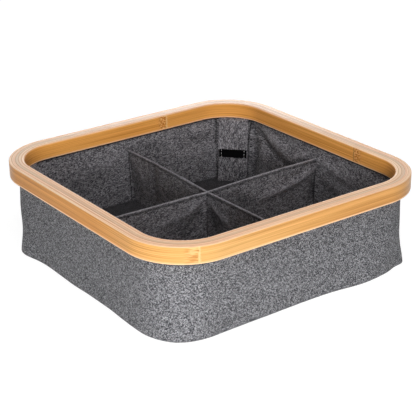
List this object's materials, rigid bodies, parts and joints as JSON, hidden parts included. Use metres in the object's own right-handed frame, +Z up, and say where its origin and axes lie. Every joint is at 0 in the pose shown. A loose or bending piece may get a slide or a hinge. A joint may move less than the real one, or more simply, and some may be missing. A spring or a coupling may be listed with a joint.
{
  "type": "bamboo organizer box",
  "caption": "Low square storage box: bent bamboo rim, soft cloth sides and floor, cross-shaped cloth dividers, and corner slats that fold so the rim can drop.",
  "frame": {"origin": "Middle of the underside, on the surface the box stands on.", "axes": "+Z up out of the open top. X and Y run along the divider arms; -Y is the front side and -X the left side."},
  "size_m": [0.34, 0.34, 0.1],
  "materials": {
    "bamboo": "bent bamboo plies, sanded, thin satin varnish",
    "shell_cloth": "grey melange woven polyester, plain weave",
    "lining_cloth": "fine dark grey woven polyester, matte",
    "felt": "pale needled felt, not seen",
    "board": "pressed paper fibre board, not seen",
    "tape": "black woven hook-and-loop tape"
  },
  "bodies": {
    "cloth_box": {"shell_side_band": "shell_cloth", "shell_bottom_panel": "shell_cloth", "wall_felt": "felt", "base_board": "board", "lining_side_band": "lining_cloth", "lining_floor_panel": "lining_cloth", "divider_right": "lining_cloth", "divider_back": "lining_cloth", "divider_left": "lining_cloth", "divider_front": "lining_cloth"},
    "rim": {"rim_ply_outer": "bamboo", "rim_ply_second": "bamboo", "rim_ply_middle": "bamboo", "rim_ply_groove": "bamboo", "rim_ply_inner": "bamboo"},
    "stay_back_right": {"stay_slat_back_right": "bamboo", "stay_pocket_front_back_right": "lining_cloth", "stay_pocket_back_back_right": "lining_cloth", "stay_loop_tape_back_right": "tape"},
    "stay_back_left": {"stay_slat_back_left": "bamboo", "stay_pocket_front_back_left": "lining_cloth", "stay_pocket_back_back_left": "lining_cloth", "stay_loop_tape_back_left": "tape"},
    "stay_front_left": {"stay_slat_front_left": "bamboo", "stay_pocket_front_front_left": "lining_cloth", "stay_pocket_back_front_left": "lining_cloth", "stay_loop_tape_front_left": "tape"},
    "stay_front_right": {"stay_slat_front_right": "bamboo", "stay_pocket_front_front_right": "lining_cloth", "stay_pocket_back_front_right": "lining_cloth", "stay_loop_tape_front_right": "tape"},
    "flap_back_right": {"flap_cloth_back_right": "lining_cloth", "flap_hook_tape_back_right": "tape"},
    "flap_back_left": {"flap_cloth_back_left": "lining_cloth", "flap_hook_tape_back_left": "tape"},
    "flap_front_left": {"flap_cloth_front_left": "lining_cloth", "flap_hook_tape_front_left": "tape"},
    "flap_front_right": {"flap_cloth_front_right": "lining_cloth", "flap_hook_tape_front_right": "tape"}
  },
  "joints": [
    {"name": "rim_drop", "type": "slide", "parent": "cloth_box", "child": "rim", "axis": [0, 0, -1], "range_m": [0, 0.045], "deforming": ["shell_side_band", "wall_felt", "lining_side_band", "divider_right", "divider_back", "divider_left", "divider_front", "flap_cloth_back_right", "flap_cloth_back_left", "flap_cloth_front_left", "flap_cloth_front_right", "flap_hook_tape_back_right", "flap_hook_tape_back_left", "flap_hook_tape_front_left", "flap_hook_tape_front_right"]},
    {"name": "stay_fold_back_right", "type": "hinge", "parent": "cloth_box", "child": "stay_back_right", "pos_m": [0.12707, 0.12283, 0.0061], "axis": [0.7071, -0.7071, 0], "range_deg": [0, 101.5]},
    {"name": "stay_fold_back_left", "type": "hinge", "parent": "cloth_box", "child": "stay_back_left", "pos_m": [-0.12283, 0.12707, 0.0061], "axis": [0.7071, 0.7071, 0], "range_deg": [0, 101.5]},
    {"name": "stay_fold_front_left", "type": "hinge", "parent": "cloth_box", "child": "stay_front_left", "pos_m": [-0.12707, -0.12283, 0.0061], "axis": [-0.7071, 0.7071, 0], "range_deg": [0, 101.5]},
    {"name": "stay_fold_front_right", "type": "hinge", "parent": "cloth_box", "child": "stay_front_right", "pos_m": [0.12283, -0.12707, 0.0061], "axis": [-0.7071, -0.7071, 0], "range_deg": [0, 101.5]},
    {"name": "flap_open_back_right", "type": "hinge", "parent": "rim", "child": "flap_back_right", "pos_m": [0.13757, 0.13333, 0.0809], "axis": [-0.7071, 0.7071, 0], "range_deg": [0, 110]},
    {"name": "flap_open_back_left", "type": "hinge", "parent": "rim", "child": "flap_back_left", "pos_m": [-0.13333, 0.13757, 0.0809], "axis": [-0.7071, -0.7071, 0], "range_deg": [0, 110]},
    {"name": "flap_open_front_left", "type": "hinge", "parent": "rim", "child": "flap_front_left", "pos_m": [-0.13757, -0.13333, 0.0809], "axis": [0.7071, -0.7071, 0], "range_deg": [0, 110]},
    {"name": "flap_open_front_right", "type": "hinge", "parent": "rim", "child": "flap_front_right", "pos_m": [0.13333, -0.13757, 0.0809], "axis": [0.7071, 0.7071, 0], "range_deg": [0, 110]}
  ],
  "couplings": [
    {"joint": "stay_fold_back_right", "follows": "rim_drop", "rad_per_m": 39.3},
    {"joint": "stay_fold_back_left", "follows": "rim_drop", "rad_per_m": 39.3},
    {"joint": "stay_fold_front_left", "follows": "rim_drop", "rad_per_m": 39.3},
    {"joint": "stay_fold_front_right", "follows": "rim_drop", "rad_per_m": 39.3}
  ]
}
